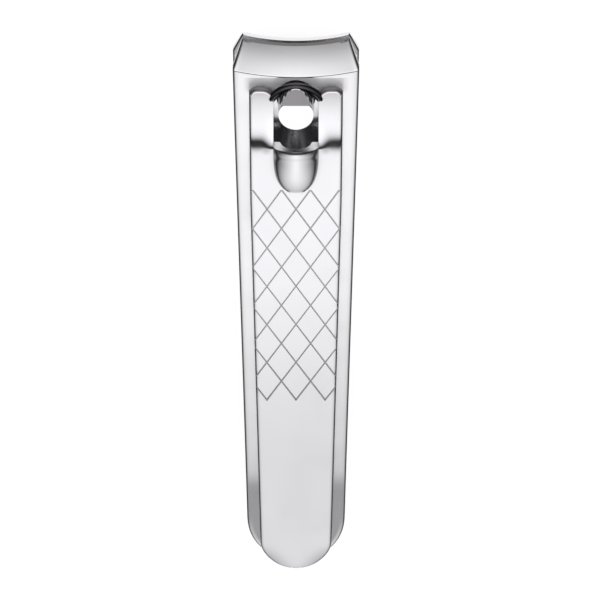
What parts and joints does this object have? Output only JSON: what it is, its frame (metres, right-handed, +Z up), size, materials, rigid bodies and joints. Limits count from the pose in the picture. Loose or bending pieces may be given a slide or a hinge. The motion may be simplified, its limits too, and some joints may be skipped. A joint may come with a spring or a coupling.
{
  "type": "lever nail clipper",
  "caption": "Polished steel nail clipper with two sprung leaves, curved jaws, a turning pin and a folding lever with a diamond-pattern grip.",
  "frame": {"origin": "below the middle of the folded clipper, on the surface that it lies on", "axes": "+Y along the body towards the jaws, +Z up out of the folded lever, X across the width"},
  "size_m": [0.0126, 0.0587, 0.0112],
  "materials": {
    "leaf_steel": "satin polished stainless steel",
    "lever_steel": "polished stainless steel with an engraved diamond grip",
    "pin_chrome": "bright plated steel",
    "rivet_steel": "plain bright steel"
  },
  "bodies": {
    "lower_body": {"lower_leaf": "leaf_steel", "tail_rivet": "rivet_steel"},
    "upper_body": {"upper_leaf": "leaf_steel"},
    "pin_body": {"pivot_pin": "pin_chrome"},
    "lever_body": {"lever": "lever_steel"}
  },
  "joints": [
    {"name": "jaw_close", "type": "hinge", "parent": "lower_body", "child": "upper_body", "pos_m": [0, -0.01998, 0.00192], "axis": [-1, 0, 0], "range_deg": [0, 0.58], "stiffness_Nm_per_rad": 28},
    {"name": "pin_spin", "type": "hinge", "parent": "lower_body", "child": "pin_body", "pos_m": [0, 0.02402, 0], "axis": [0, 0, 1], "continuous": true},
    {"name": "lever_tilt", "type": "hinge", "parent": "pin_body", "child": "lever_body", "pos_m": [0, 0.02562, 0.00797], "axis": [-1, 0, 0], "range_deg": [0, 162]}
  ]
}
